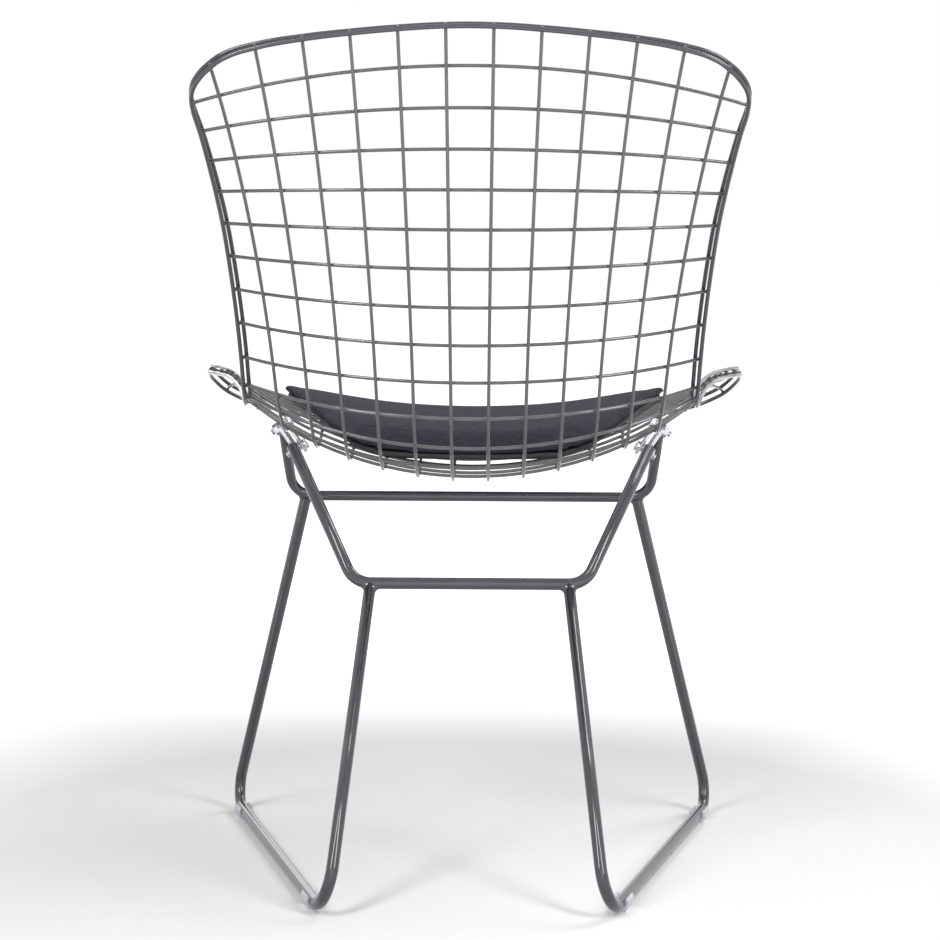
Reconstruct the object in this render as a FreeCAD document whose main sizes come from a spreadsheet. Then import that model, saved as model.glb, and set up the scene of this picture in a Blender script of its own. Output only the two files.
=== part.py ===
import FreeCAD, Part
import math
import os
import Sketcher
from FreeCAD import Placement, Rotation, Vector

# Wire mesh chair. Millimetres, +Z up, floor at Z = 0, the sitter faces -Y, left side is +X.
# The net of the seat and back is described in net coordinates: u counts long wires sideways
# from the middle, v is the distance down the back and forward along the seat from the top border.

doc = FreeCAD.newDocument("WireMeshChair")

# Driving sizes, in millimetres and degrees
SIZES = [
    ("top_height", 772.0, "height of the net's top edge at the middle"),
    ("top_setback", 293.2, "how far behind the origin that top edge stands"),
    ("lean_top", 17.0, "lean of the back at the top, from vertical"),
    ("lean_low", 23.0, "lean of the back where the bend starts"),
    ("back_run", 354.0, "length of the back above the bend"),
    ("bend_radius", 118.0, "radius of the bend between back and seat"),
    ("seat_rise", 4.0, "slope of the seat, rising forwards"),
    ("seat_run", 290.0, "straight length of the seat"),
    ("roll_radius", 120.0, "radius of the seat's rolled front edge"),
    ("roll_turn", 18.0, "how far that front edge turns down"),
    ("station_waist", 250.0, "distance down the net of the waist station"),
    ("station_bend", 480.0, "the same for the bend station"),
    ("station_front", 832.0, "the same for the front station"),
    ("pitch_top", 40.2, "spacing of the long wires at the top"),
    ("pitch_waist", 34.9, "the same at the waist"),
    ("pitch_bend", 32.4, "the same in the bend"),
    ("pitch_front", 39.8, "the same at the front"),
    ("dish_top", -3.0, "how far the outermost long wires stand proud, top"),
    ("dish_waist", 40.0, "the same at the waist"),
    ("dish_bend", 45.0, "the same in the bend"),
    ("dish_front", 31.0, "the same at the front"),
    ("sweep_top", -37.0, "how far the rows sweep up at the sides, top"),
    ("sweep_waist", -5.5, "the same at the waist"),
    ("sweep_bend", -8.0, "the same in the bend"),
    ("sweep_front", 3.0, "the same at the front"),
    ("wrap_top", 0.02, "narrowing of the outermost spacing, top"),
    ("wrap_waist", 0.045, "the same at the waist"),
    ("wrap_bend", 0.04, "the same in the bend"),
    ("wrap_front", 0.0, "the same at the front"),
    ("long_wires", 12.0, "number of long wires"),
    ("cross_wires", 22.0, "number of cross wires"),
    ("first_row", 35.5, "first cross wire, from the top edge"),
    ("row_pitch", 36.5, "spacing of the cross wires"),
    ("wing_wire_at", 6.5, "place of the short wing wires, in long-wire spacings"),
    ("wing_wire_row", 14.0, "cross wire on which the wing wires start"),
    ("wire_d", 3.1, "diameter of the net's wires"),
    ("border_d", 4.0, "diameter of the two border rods"),
    ("border_turn", 22.0, "most that a border rod turns between two straight runs, degrees"),
    ("weld_gap", 0.05, "least clearance between crossing wires"),
    ("edge_crown", 2.4, "half width of the straight middle of the top edge, in long-wire spacings"),
    ("edge_top", 6.12, "half width of the outline at its top corner, in long-wire spacings"),
    ("edge_shoulder", 6.3, "the same on the upper back"),
    ("edge_waist", 6.6, "the same on the lower back"),
    ("edge_hip", 6.9, "the same at the hips"),
    ("edge_wing", 7.45, "the same on the seat's wings"),
    ("edge_front", 7.35, "the same at the front corner"),
    ("corner_drop", 16.0, "how far the top edge falls from the middle to its corners' tips"),
    ("shoulder_at", 180.0, "distance down the net of the upper back's outline point"),
    ("waist_at", 340.0, "the same for the lower back's"),
    ("hip_at", 480.0, "the same for the hips'"),
    ("wing_at", 640.0, "the same for the wings'"),
    ("front_tip", 24.0, "how far the front corners' tips reach past the rolled edge"),
    ("front_middle", 7.0, "how far the middle of the front edge does"),
    ("corner_top_r", 50.0, "corner radius of the net at the top"),
    ("corner_front_r", 75.0, "corner radius of the net at the front"),
    ("hip_r", 150.0, "radius of the outline at the hips"),
    ("crown_r", 900.0, "radius of the outline along the top edge"),
    ("rear_rod_d", 11.0, "diameter of the rear cross frame"),
    ("rear_bar_drop", 133.3, "how far the rear crossbar lies below the clamps"),
    ("rear_bar_setback", 128.2, "how far behind the origin it lies"),
    ("rear_bar_half", 105.5, "half width to its bends"),
    ("rear_bar_bend", 24.0, "bend radius of the rear cross frame"),
    ("front_rod_d", 9.5, "diameter of the front cross frame"),
    ("front_bar_drop", 65.8, "how far the front crossbar lies below the clamps"),
    ("front_bar_setback", 20.2, "how far behind the origin it lies"),
    ("front_bar_half", 168.5, "half width to its bends"),
    ("front_bar_bend", 22.0, "bend radius of the front cross frame"),
    ("leg_rod_d", 11.0, "diameter of the side rods"),
    ("rear_leg_top_half", 90.3, "half width between the rear legs at the crossbar"),
    ("rear_foot_half", 121.5, "half width at the rear feet"),
    ("rear_foot_setback", 278.2, "how far behind the origin the rear feet are"),
    ("front_leg_top_half", 156.5, "half width between the front legs at the crossbar"),
    ("front_foot_half", 243.5, "half width at the front feet"),
    ("front_foot_reach", 169.8, "how far ahead of the origin the front feet are"),
    ("rear_foot_bend", 28.0, "bend radius at the rear feet"),
    ("front_foot_bend", 22.0, "bend radius at the front feet"),
    ("rod_seat_gap", 0.1, "clearance of a coped rod end on the rod it meets"),
    ("glide_wall", 2.5, "wall of the clip-on glides"),
    ("glide_sole", 2.0, "height of a glide's flat sole"),
    ("glide_length", 22.0, "length of a glide along the runner"),
    ("glide_fit", 0.15, "clearance between a glide and the runner"),
    ("glide_wrap", 250.0, "how far round the runner a glide reaches, degrees"),
    ("rear_glide_from_foot", 62.0, "distance of a rear glide from the rear foot's corner"),
    ("front_glide_from_foot", 50.0, "distance of a front glide from the front foot's corner"),
    ("clamp_row", 13.5, "place of the clamps on the outermost wires, in rows"),
    ("clamp_tilt", 56.0, "tilt of the clamp plates"),
    ("plate_out", 11.0, "reach of the plates outwards of the wire"),
    ("plate_in", 27.0, "reach of the plates inwards of the wire"),
    ("lower_plate_rear", 13.0, "reach of the lower plate to the rear"),
    ("lower_plate_front", 16.0, "reach of the lower plate to the front"),
    ("lower_plate_t", 3.0, "thickness of the lower plate"),
    ("upper_plate_rear", 9.5, "reach of the upper plate to the rear"),
    ("upper_plate_front", 6.0, "reach of the upper plate to the front"),
    ("upper_plate_t", 2.5, "thickness of the upper plate"),
    ("plate_corner", 5.5, "bevel of the plates' corners"),
    ("bolt_d", 6.0, "clamp bolt"),
    ("bolt_hole_d", 6.4, "its hole in the plates"),
    ("bolt_out", 5.5, "upper bolt, outwards of the wire"),
    ("bolt_in", 20.0, "lower bolt, inwards of the wire"),
    ("bolt_rear", 4.5, "both bolts, to the rear of the clamp's middle"),
    ("bolt_end", 3.0, "bolt standing out of its nut"),
    ("head_af", 10.0, "bolt head and nut across flats"),
    ("head_t", 4.0, "bolt head thickness"),
    ("nut_t", 5.0, "nut thickness"),
    ("nut_fit", 0.1, "clearance between a bolt and its nut, which stands for the thread"),
    ("arm_in", 14.0, "rear arm, inwards of the wire"),
    ("front_arm_in", 1.0, "front arm, inwards of the wire"),
    ("front_arm_ahead", 9.0, "front arm, ahead of the clamp's middle"),
    ("pad_rear", 38.0, "rear edge of the seat pad, behind the origin"),
    ("pad_front", 238.0, "front edge of the seat pad, ahead of the origin"),
    ("pad_rear_half", 118.0, "half width of the pad near its rear edge"),
    ("pad_front_half", 206.0, "half width of the pad near its front edge"),
    ("board_t", 5.0, "thickness of the pad's base board"),
    ("cushion_edge", 6.0, "thickness of the cushion at its edge"),
    ("cushion_crown", 13.0, "thickness of the cushion in the middle"),
    ("cushion_lip", 4.0, "thickness of the cushion at its rear and front edges"),
    ("cushion_gap", 0.35, "clearance between board and cushion"),
    ("board_inset", 4.0, "how far the board keeps inside the cushion"),
    ("pad_corner_r", 34.0, "how far the pad's corners are drawn in"),
    ("pad_corner_run", 44.0, "length of the pad's rounded corners, front to rear"),
    ("edge_bulge", 0.45, "how far the pad's edges bulge, in thicknesses"),
    ("pad_lift", 8.0, "how far the stiff pad bridges the dish of the net at its rear edge"),
    ("pad_front_lift", 3.0, "the same at its front edge"),
    ("side_slope", 25.0, "how steep the net stands under the pad's sides, degrees"),
    ("pad_clear", 0.7, "clearance between the pad and the wires"),
]

sheet = doc.addObject("Spreadsheet::Sheet", "sizes")
for line, (alias, number, note) in enumerate(SIZES, start=1):
    sheet.set("A%d" % line, alias)
    sheet.set("B%d" % line, "%r" % number)
    sheet.set("C%d" % line, note)
    sheet.setAlias("B%d" % line, alias)

# Places that follow from the driving sizes, kept in a second sheet for the features to read
places = doc.addObject("Spreadsheet::Sheet", "places")
doc.recompute()


def size(alias):
    return float(sheet.get(alias))


def place(alias, number):
    """Writes a worked-out length or angle into the second sheet under its own name."""
    line = len([cell for cell in places.getUsedCells() if cell.startswith("A")]) + 1
    places.set("A%d" % line, alias)
    places.set("B%d" % line, "%.9f" % number)
    places.setAlias("B%d" % line, alias)
    doc.recompute([places])
    return number


NODES = []


def node(item, label):
    """Gives a finished object its name and puts it on the list of sub-parts."""
    item.Label = label
    NODES.append(item)
    return item


# The net's surface

STATIONS = [0.0, size("station_waist"), size("station_bend"), size("station_front")]
EDGE_WIRE = (size("long_wires") - 1) / 2.0
BEND_TURN = math.radians(90.0 + size("seat_rise") - size("lean_low"))
BEND_RUN = size("bend_radius") * BEND_TURN
ROLL_START = size("back_run") + BEND_RUN + size("seat_run")
NET_RUN = ROLL_START + size("roll_radius") * math.radians(size("roll_turn"))


def along(kind, v):
    """Cubic through the four stations of a size that changes along the net."""
    values = [size("%s_%s" % (kind, end)) for end in ("top", "waist", "bend", "front")]
    total = 0.0
    for i, value in enumerate(values):
        weight = 1.0
        for j, station in enumerate(STATIONS):
            if j != i:
                weight *= (v - station) / (STATIONS[i] - station)
        total += weight * value
    return total


def arc_step(y, z, angle, radius, turn):
    """Walks an arc from a point: the angle is measured from straight down, turning forwards."""
    end = angle + turn
    y += radius * (math.cos(end) - math.cos(angle))
    z -= radius * (math.sin(end) - math.sin(angle))
    return y, z, end


def spine(v):
    """Middle line of the net: Y, Z and its angle from straight down."""
    y = size("top_setback")
    z = size("top_height")
    angle = math.radians(size("lean_top"))
    back_turn = math.radians(size("lean_low") - size("lean_top"))
    back = min(v, size("back_run"))
    y, z, angle = arc_step(y, z, angle, size("back_run") / back_turn, back_turn * back / size("back_run"))
    bend = min(max(v - size("back_run"), 0.0), BEND_RUN)
    y, z, angle = arc_step(y, z, angle, size("bend_radius"), bend / size("bend_radius"))
    flat = min(max(v - size("back_run") - BEND_RUN, 0.0), size("seat_run"))
    y -= flat * math.sin(angle)
    z -= flat * math.cos(angle)
    roll = max(v - ROLL_START, 0.0)
    return arc_step(y, z, angle, -size("roll_radius"), -roll / size("roll_radius"))


def net(u, v):
    """Point of the net's middle surface, between the long wires and the cross wires."""
    y, z, angle = spine(v)
    q = (u / EDGE_WIRE) ** 2
    dish = along("dish", v) * q
    sweep = along("sweep", v) * q
    x = along("pitch", v) * u * (1.0 - along("wrap", v) * q)
    y += math.sin(angle) * sweep - math.cos(angle) * dish
    z += math.cos(angle) * sweep + math.sin(angle) * dish
    return Vector(x, y, z)


def net_normal(u, v):
    """Unit normal of the net, towards the sitter."""
    step = 0.01
    side = net(u + step, v) - net(u - step, v)
    down = net(u, v + step) - net(u, v - step)
    return down.cross(side).normalize()


def lifted(u, v, lift):
    """Point a given height above the net's middle surface, on the sitter's side."""
    return net(u, v) + net_normal(u, v) * lift


def rows():
    return [size("first_row") + size("row_pitch") * i for i in range(int(size("cross_wires")))]


def columns():
    return [i - EDGE_WIRE for i in range(int(size("long_wires")))]


# Net wires are swept with a six-sided section of the round wire's area, border rods with eight

WIRE_SIDES = 6
BORDER_SIDES = 8


def corner_radius(diameter, sides):
    """Distance to the corners of a regular section that has the round wire's area."""
    return diameter / 2.0 * math.sqrt(2.0 * math.pi / (sides * math.sin(2.0 * math.pi / sides)))


WIRE_CORNER_R = corner_radius(size("wire_d"), WIRE_SIDES)
BORDER_CORNER_R = corner_radius(size("border_d"), BORDER_SIDES)
WIRE_LIFT = WIRE_CORNER_R + size("weld_gap") / 2.0
BORDER_STEP = WIRE_CORNER_R + BORDER_CORNER_R + size("weld_gap")


def wire_solid(points, facing, reach, sides):
    """Straight runs of a regular section with mitred corners, closed into one solid."""
    runs = [(b - a).normalize() for a, b in zip(points, points[1:])]
    side = runs[0].cross(facing).normalize()
    up = side.cross(runs[0])
    ring = []
    for k in range(sides):
        turn = (k + 0.5) * 2.0 * math.pi / sides + math.pi / 2.0
        ring.append(points[0] + (side * math.cos(turn) + up * math.sin(turn)) * reach)
    rings = [ring]
    for point, run, after in zip(points[1:], runs, runs[1:] + runs[-1:]):
        mitre = run + after
        ring = [corner + run * ((point - corner).dot(mitre) / run.dot(mitre)) for corner in ring]
        rings.append(ring)
    loops = [rings[0], rings[-1]]
    for near, far in zip(rings, rings[1:]):
        loops += [[near[k - 1], near[k], far[k], far[k - 1]] for k in range(sides)]
    shell = Part.makeShell([Part.Face(Part.makePolygon(loop + loop[:1])) for loop in loops])
    shell.sewShape()
    solid = Part.makeSolid(shell)
    if solid.Volume < 0.0:
        solid.reverse()
    return solid


STRAIGHTNESS = 0.15


def without_straights(points):
    """Leaves out the points that a straight run passes closer than the net's straightness."""
    kept = [0]
    for here in range(1, len(points) - 1):
        start = points[kept[-1]]
        run = points[here + 1] - start
        between = points[kept[-1] + 1:here + 1]
        if max((point - start).cross(run).Length / run.Length for point in between) > STRAIGHTNESS:
            kept.append(here)
    return [points[k] for k in kept] + [points[-1]]


def net_wire(coordinates, lift, name):
    """One wire of the net, through its crossings given in net coordinates."""
    points = without_straights([lifted(u, v, lift) for u, v in coordinates])
    wire = doc.addObject("Part::Feature", name)
    wire.Shape = wire_solid(points, net_normal(*coordinates[0]), WIRE_CORNER_R, WIRE_SIDES)
    return node(wire, name)


# Outline of the net

FLAT_PITCH = size("pitch_top")
OUTLINE = [
    (0.0, 0.0, 0.0),
    (size("edge_crown"), 0.0, size("crown_r")),
    (size("edge_top"), -size("corner_drop"), size("corner_top_r")),
    (size("edge_shoulder"), size("shoulder_at"), size("crown_r")),
    (size("edge_waist"), size("waist_at"), size("crown_r")),
    (size("edge_hip"), size("hip_at"), size("hip_r")),
    (size("edge_wing"), size("wing_at"), size("hip_r")),
    (size("edge_front"), NET_RUN + size("front_tip"), size("corner_front_r")),
    (0.0, NET_RUN + size("front_middle"), 0.0),
]


def rounded_outline(corners):
    """Points close together along a polygon with rounded corners, in flat millimetres."""
    flat = [Vector(u * FLAT_PITCH, v, 0.0) for u, v, radius in corners]
    dense = [flat[0]]
    for before, here, after, corner in zip(flat, flat[1:], flat[2:], corners[1:]):
        a = (before - here).normalize()
        b = (after - here).normalize()
        half = a.getAngle(b) / 2.0
        radius = corner[2]
        reach = radius / math.tan(half)
        centre = here + (a + b).normalize() * (radius / math.sin(half))
        start = here + a * reach - centre
        turn = math.pi - 2.0 * half
        hand = 1.0 if a.cross(b).z < 0.0 else -1.0
        steps = max(2, int(math.degrees(turn)))
        for k in range(steps + 1):
            swing = Rotation(Vector(0, 0, hand), math.degrees(turn) * k / steps)
            dense.append(centre + swing.multVec(start))
    dense.append(flat[-1])
    return dense


EDGE = rounded_outline(OUTLINE)


def edge_crossings(axis, value):
    """Where the outline crosses a long wire (axis 0) or a row (axis 1): index plus fraction."""
    found = []
    for i, (a, b) in enumerate(zip(EDGE, EDGE[1:])):
        if (a[axis] - value) * (b[axis] - value) <= 0.0 and a[axis] != b[axis]:
            found.append(i + (value - a[axis]) / (b[axis] - a[axis]))
    return found


def edge_at(where):
    """Net coordinates of a place on the outline."""
    i = min(int(where), len(EDGE) - 2)
    flat = EDGE[i] + (EDGE[i + 1] - EDGE[i]) * (where - i)
    return flat.x / FLAT_PITCH, flat.y


def edge_heading(where):
    i = min(int(where), len(EDGE) - 2)
    return math.atan2(EDGE[i + 1].y - EDGE[i].y, EDGE[i + 1].x - EDGE[i].x)


ROW_ENDS = [edge_crossings(1, v)[0] for v in rows()]
TOP_ENDS = {u: edge_crossings(0, u * FLAT_PITCH)[0] for u in columns() if u > 0.0}
FRONT_ENDS = {u: edge_crossings(0, u * FLAT_PITCH)[-1] for u in columns() if u > 0.0}
WING_END = edge_crossings(0, size("wing_wire_at") * FLAT_PITCH)[-1]
WING_START = rows()[int(size("wing_wire_row")) - 1]
OVERHANG = size("border_d") / 2.0


def make_long_wires():
    for number, u in enumerate(columns(), start=1):
        top = edge_at(TOP_ENDS[abs(u)])[1]
        front = edge_at(FRONT_ENDS[abs(u)])[1]
        stops = rows() + ([clamp_v()] if abs(u) == EDGE_WIRE else [])
        stops = [top] + sorted(v for v in stops if top < v < front) + [front]
        stops = [top - OVERHANG] + stops + [front + OVERHANG]
        net_wire([(u, v) for v in stops], -WIRE_LIFT, "long_wire_%02d" % number)


def make_wing_wires():
    front = edge_at(WING_END)[1]
    stops = [v for v in rows() if WING_START <= v < front]
    stops = [WING_START - OVERHANG] + stops + [front, front + OVERHANG]
    for side, hand in (("left", 1.0), ("right", -1.0)):
        u = hand * size("wing_wire_at")
        net_wire([(u, v) for v in stops], -WIRE_LIFT, "wing_wire_%s" % side)


def make_cross_wires():
    for number, (v, where) in enumerate(zip(rows(), ROW_ENDS), start=1):
        edge = edge_at(where)[0] + OVERHANG / along("pitch", v)
        stops = columns()
        if v >= WING_START:
            stops = [-size("wing_wire_at")] + stops + [size("wing_wire_at")]
        stops = [-edge] + stops + [edge]
        net_wire([(u, v) for u in stops], WIRE_LIFT, "cross_wire_%02d" % number)


# Border rods: both lie against the cross wires at the sides, and against the long wires
# at the top and front, so they change layer in the corners of the net.

def smooth(share):
    share = min(max(share, 0.0), 1.0)
    return share * share * (3.0 - 2.0 * share)


def border_stations():
    """Places on the outline where a border rod has a corner of its straight runs."""
    fixed = [0.0, float(len(EDGE) - 1), WING_END] + ROW_ENDS
    fixed += list(TOP_ENDS.values()) + list(FRONT_ENDS.values())
    fixed.sort()
    most_turn = math.radians(size("border_turn"))
    stations = [fixed[0]]
    for a, b in zip(fixed, fixed[1:]):
        turn = abs(edge_heading(b - 1e-6) - edge_heading(a + 1e-6))
        parts = 1 + int(turn / most_turn)
        stations += [a + (b - a) * k / parts for k in range(1, parts + 1)]
    return stations


def make_border(name, side_lift, end_lift):
    last_top = max(TOP_ENDS.values())
    last_row = max(ROW_ENDS)
    points = []
    for where in border_stations():
        u, v = edge_at(where)
        at_side = smooth((where - last_top) / (ROW_ENDS[0] - last_top))
        at_side -= smooth((where - last_row) / (WING_END - last_row))
        points.append(lifted(u, v, end_lift + (side_lift - end_lift) * at_side))
    for k, beyond in ((0, 1), (-1, -2)):
        mirrored = Vector(-points[beyond].x, points[beyond].y, points[beyond].z)
        tail = (mirrored + points[beyond]) * 0.5
        points[k] = Vector(0.0, tail.y, tail.z)
    overlap = -size("pitch_top") / 2.0
    past = [Vector(overlap, points[0].y, points[0].z)]
    beyond = [Vector(overlap, points[-1].y, points[-1].z)]
    points = without_straights(past + points + beyond)
    half = wire_solid(points, net_normal(0.0, 0.0), BORDER_CORNER_R, BORDER_SIDES)
    reach = 2.0 * size("top_height")
    keep = Part.makeBox(reach, 2.0 * reach, 2.0 * reach, Vector(0.0, -reach, -reach))
    half = half.common(keep)
    other = half.mirror(Vector(0, 0, 0), Vector(1, 0, 0))
    rod = doc.addObject("Part::Feature", name)
    rod.Shape = half.fuse(other).removeSplitter().Solids[0]
    return node(rod, name)


def make_borders():
    make_border("border_rod_outer", WIRE_LIFT - BORDER_STEP, -WIRE_LIFT - BORDER_STEP)
    make_border("border_rod_inner", WIRE_LIFT + BORDER_STEP, -WIRE_LIFT + BORDER_STEP)


# Clamps: axis a runs across the wire, outwards and up; axis b runs to the rear; axis n is square
# to the plates, towards the sitter.

def clamp_v():
    return size("first_row") + size("row_pitch") * (size("clamp_row") - 1.0)


def clamp_frame(hand):
    """Placement of a clamp at the wire's centre: local X, Y, Z are a, b and n."""
    tilt = size("clamp_tilt") * hand
    centre = lifted(EDGE_WIRE * hand, clamp_v(), -WIRE_LIFT)
    turn = Rotation(Vector(0, 1, 0), -tilt)
    return Placement(centre, turn)


LOWER_TOP = -WIRE_CORNER_R - size("weld_gap")
LOWER_BOTTOM = LOWER_TOP - size("lower_plate_t")
UPPER_HALF = max(size("upper_plate_rear"), size("upper_plate_front"))
WIRE_SLOPE = size("row_pitch") / (4.0 * size("bend_radius"))
UPPER_BOTTOM = WIRE_CORNER_R + UPPER_HALF * WIRE_SLOPE + size("rod_seat_gap")
UPPER_TOP = UPPER_BOTTOM + size("upper_plate_t")


def role_plane(body, role):
    return [part for part in body.Origin.OriginFeatures if part.Role == role][0]


def plane_sketch(body, role, name):
    sketch = body.newObject("Sketcher::SketchObject", name)
    sketch.AttachmentSupport = [(role_plane(body, role), "")]
    sketch.MapMode = "FlatFace"
    return sketch


def sketch_rectangle(sketch, low_x, high_x, low_y, high_y):
    """Rectangle round the origin whose four reaches are bound to the sheets."""
    corners = [Vector(-8, -8, 0), Vector(8, -8, 0), Vector(8, 8, 0), Vector(-8, 8, 0)]
    for k in range(4):
        sketch.addGeometry(Part.LineSegment(corners[k], corners[(k + 1) % 4]), False)
    for k in range(4):
        sketch.addConstraint(Sketcher.Constraint("Coincident", k, 2, (k + 1) % 4, 1))
    for k, way in enumerate(("Horizontal", "Vertical", "Horizontal", "Vertical")):
        sketch.addConstraint(Sketcher.Constraint(way, k))
    reaches = (
        ("DistanceX", 3, 1, "reach_low_x", low_x, -1.0),
        ("DistanceX", 1, 1, "reach_high_x", high_x, 1.0),
        ("DistanceY", 0, 1, "reach_low_y", low_y, -1.0),
        ("DistanceY", 2, 1, "reach_high_y", high_y, 1.0),
    )
    for way, line, point, name, expression, sign in reaches:
        if sign > 0.0:
            index = sketch.addConstraint(Sketcher.Constraint(way, -1, 1, line, point, 8.0))
        else:
            index = sketch.addConstraint(Sketcher.Constraint(way, line, point, -1, 1, 8.0))
        sketch.renameConstraint(index, name)
        sketch.setExpression("Constraints." + name, expression)


def sketch_circle(sketch, name, diameter, x=None, y=None):
    """Circle bound to its diameter, and to its distances from the origin where it has them."""
    start = Vector(3.0 if x else 0.0, 3.0 if y else 0.0, 0)
    index = sketch.addGeometry(Part.Circle(start, Vector(0, 0, 1), 2.0))
    if x is None and y is None:
        sketch.addConstraint(Sketcher.Constraint("Coincident", index, 3, -1, 1))
    else:
        for way, tag, expression in (("DistanceX", "_x", x), ("DistanceY", "_y", y)):
            rule = sketch.addConstraint(Sketcher.Constraint(way, -1, 1, index, 3, 3.0))
            sketch.renameConstraint(rule, name + tag)
            sketch.setExpression("Constraints." + name + tag, expression)
    rule = sketch.addConstraint(Sketcher.Constraint("Diameter", index, 4.0))
    sketch.renameConstraint(rule, name + "_d")
    sketch.setExpression("Constraints." + name + "_d", diameter)


def make_plate(name, hand, rear, front, thickness, base_lift):
    """Rounded plate with two bolt holes, laid in the clamp's own frame."""
    body = doc.addObject("PartDesign::Body", name + "_body")
    outline = plane_sketch(body, "XY_Plane", name + "_outline")
    outward = ("sizes.plate_out", "sizes.plate_in")
    low, high = outward[::-1] if hand > 0.0 else outward
    sketch_rectangle(outline, low, high, front, rear)
    pad = body.newObject("PartDesign::Pad", name + "_pad")
    pad.Profile = outline
    pad.setExpression("Length", thickness)
    doc.recompute()
    upright = [
        "Edge%d" % (k + 1) for k, edge in enumerate(pad.Shape.Edges)
        if abs(edge.tangentAt(edge.FirstParameter).z) > 0.99
    ]
    corners = body.newObject("PartDesign::Chamfer", name + "_corners")
    corners.Base = (pad, upright)
    corners.setExpression("Size", "sizes.plate_corner")
    drill = plane_sketch(body, "XY_Plane", name + "_drill")
    sign = "" if hand > 0.0 else "-"
    other = "-" if hand > 0.0 else ""
    sketch_circle(drill, "upper", "sizes.bolt_hole_d", sign + "sizes.bolt_out", "sizes.bolt_rear")
    sketch_circle(drill, "lower", "sizes.bolt_hole_d", other + "sizes.bolt_in", "sizes.bolt_rear")
    holes = body.newObject("PartDesign::Pocket", name + "_holes")
    holes.Profile = drill
    holes.Type = "ThroughAll"
    holes.Reversed = True
    body.Tip = holes
    frame = clamp_frame(hand)
    body.Placement = frame.multiply(Placement(Vector(0, 0, base_lift), Rotation()))
    doc.recompute()
    return body


def group(name, members):
    """One named node that holds like pieces as separate solids."""
    pair = doc.addObject("Part::Compound", name)
    pair.Links = members
    doc.recompute()
    return node(pair, name)


def make_clamp_plates():
    for kind, lift in (("lower", LOWER_BOTTOM), ("upper", UPPER_BOTTOM)):
        rear, front, thickness = ["sizes.%s_plate_%s" % (kind, reach) for reach in ("rear", "front", "t")]
        pair = [
            make_plate("%s_clamp_plate_%s" % (kind, side), hand, rear, front, thickness, lift)
            for side, hand in (("left", 1.0), ("right", -1.0))
        ]
        group(kind + "_clamp_plates", pair)


def bolt_places():
    """Placements of the four clamp bolts, Z along the bolt towards its head."""
    found = []
    for hand in (1.0, -1.0):
        for across in (size("bolt_out"), -size("bolt_in")):
            seat = Placement(Vector(across * hand, size("bolt_rear"), 0.0), Rotation())
            found.append(clamp_frame(hand).multiply(seat))
    return found


def hexagon_prism(across_flats, height, base):
    corner = across_flats / math.sqrt(3.0)
    turns = [math.radians(60 * k) for k in range(7)]
    ring = [Vector(corner * math.cos(turn), corner * math.sin(turn), base) for turn in turns]
    return Part.Face(Part.makePolygon(ring)).extrude(Vector(0, 0, height))


def make_bolts_and_nuts():
    """Four hexagon bolts and nuts, heads on the sitter's side."""
    radius = size("bolt_d") / 2.0
    nut_top = LOWER_BOTTOM
    tail = nut_top - size("nut_t") - size("bolt_end")
    bolts = []
    nuts = []
    for seat in bolt_places():
        shank = Part.makeCylinder(radius, UPPER_TOP - tail, Vector(0, 0, tail))
        shank = shank.makeChamfer(radius / 5.0, [shank.Edges[2]])
        bolt = shank.fuse(hexagon_prism(size("head_af"), size("head_t"), UPPER_TOP)).removeSplitter()
        bolt.Placement = seat
        bolts.append(bolt)
        nut = hexagon_prism(size("head_af"), size("nut_t"), nut_top - size("nut_t"))
        nut_seat = Vector(0, 0, nut_top - size("nut_t"))
        nut = nut.cut(Part.makeCylinder(radius + size("nut_fit"), size("nut_t"), nut_seat))
        nut.Placement = seat
        nuts.append(nut)
    for name, solids in (("clamp_bolts", bolts), ("clamp_nuts", nuts)):
        set_of_four = doc.addObject("Part::Feature", name)
        set_of_four.Shape = Part.makeCompound([solid.Solids[0] for solid in solids])
        node(set_of_four, name)


# Base: two U-shaped cross frames and two side rods

def arm_end(hand, across, back, depth):
    """Point in a clamp's frame, as a place in the chair."""
    return clamp_frame(hand).multVec(Vector(across * hand, back, depth))


REAR_ARM_BACK = size("lower_plate_rear") + size("rod_seat_gap") + size("rear_rod_d") / 2.0


def bar_height(prefix):
    return clamp_frame(1.0).Base.z - size(prefix + "_bar_drop")


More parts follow.
